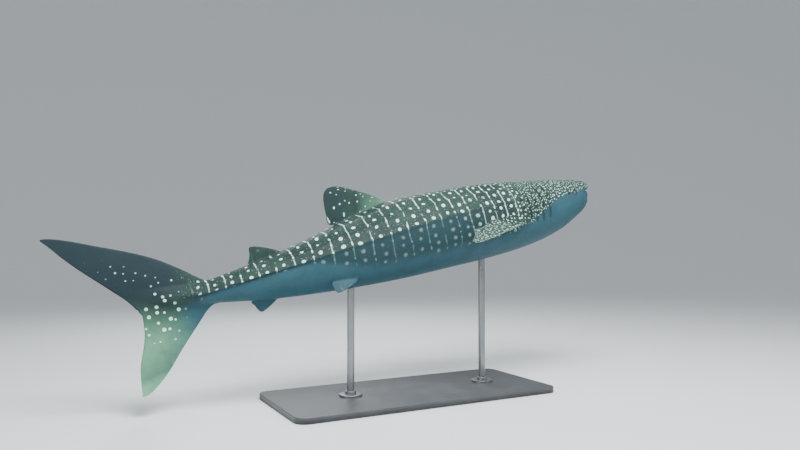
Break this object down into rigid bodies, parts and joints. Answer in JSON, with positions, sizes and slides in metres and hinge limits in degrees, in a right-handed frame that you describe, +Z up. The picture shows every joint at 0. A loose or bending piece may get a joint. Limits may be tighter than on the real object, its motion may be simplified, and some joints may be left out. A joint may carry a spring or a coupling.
{
  "type": "whale shark",
  "caption": "Life-size whale shark model in a gliding pose, nose raised and tail swinging aside, held over a flat base by plain rods.",
  "frame": {"origin": "middle of the underside of the stand's base", "axes": "+X towards the head, +Y to the animal's left, +Z up; the body is nose-up and its tail bends to the left"},
  "size_m": [5.9536, 1.7922, 2.4149],
  "materials": {
    "skin": "satin painted shark skin, dark slate with pale spots and bars, pale belly",
    "fin": "satin painted shark skin, dark slate, sparsely spotted",
    "eye": "glossy dark eye",
    "base": "satin grey paint",
    "rod": "brushed"
  },
  "bodies": {
    "root": {"head": "skin", "torso": "skin", "tail_stem": "skin", "first_dorsal_fin": "fin", "second_dorsal_fin": "fin", "anal_fin": "fin", "caudal_upper_lobe": "fin", "caudal_lower_lobe": "fin", "pectoral_fin_left": "fin", "pectoral_fin_right": "fin", "pelvic_fin_left": "fin", "pelvic_fin_right": "fin", "eye_left": "eye", "eye_right": "eye", "stand_base": "base", "stand_rod_front": "rod", "stand_rod_rear": "rod"}
  },
  "joints": []
}
